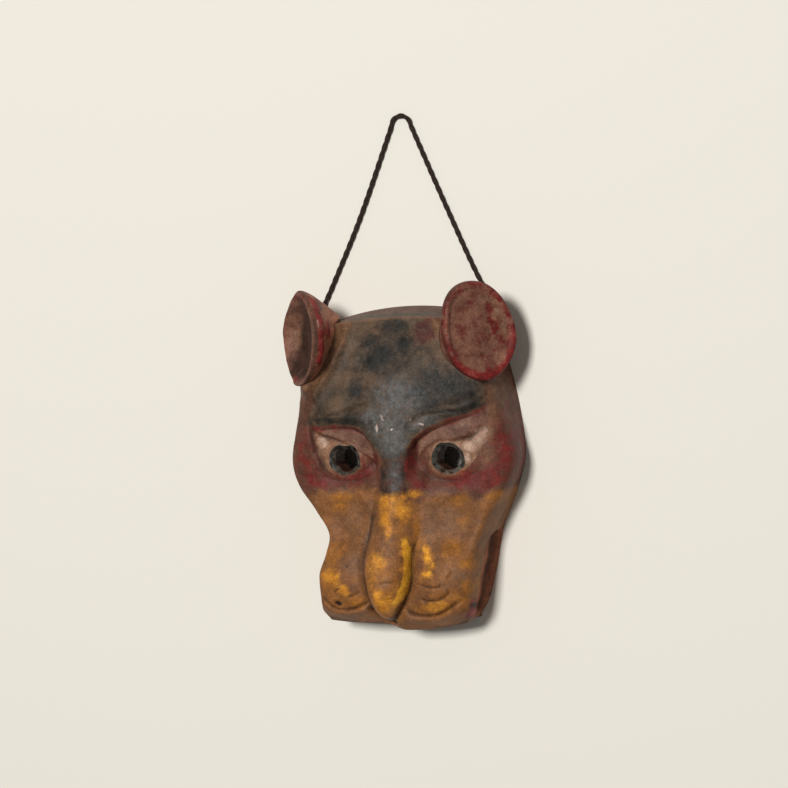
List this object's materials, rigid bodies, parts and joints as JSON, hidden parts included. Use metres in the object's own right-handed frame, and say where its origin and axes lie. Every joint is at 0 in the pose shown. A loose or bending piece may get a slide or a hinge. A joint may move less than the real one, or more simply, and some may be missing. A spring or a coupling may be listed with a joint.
{
  "type": "wooden animal mask",
  "caption": "Carved and painted wooden animal face mask, hollow behind, with dished ears, eye holes and a hanging cord, lying face up.",
  "frame": {"origin": "under the middle of the mask's outline, level with its flat back rim", "axes": "+X to the viewer's right across the face, +Y up the face towards the crown, +Z out of the face"},
  "size_m": [0.1534, 0.3278, 0.0617],
  "materials": {
    "painted_wood": "worn paint with a low waxy sheen",
    "cord": "twisted, dull"
  },
  "bodies": {
    "root": {"carved_mask": "painted_wood", "hanging_cord": "cord", "cord_knot_left": "cord", "cord_knot_right": "cord"}
  },
  "joints": []
}
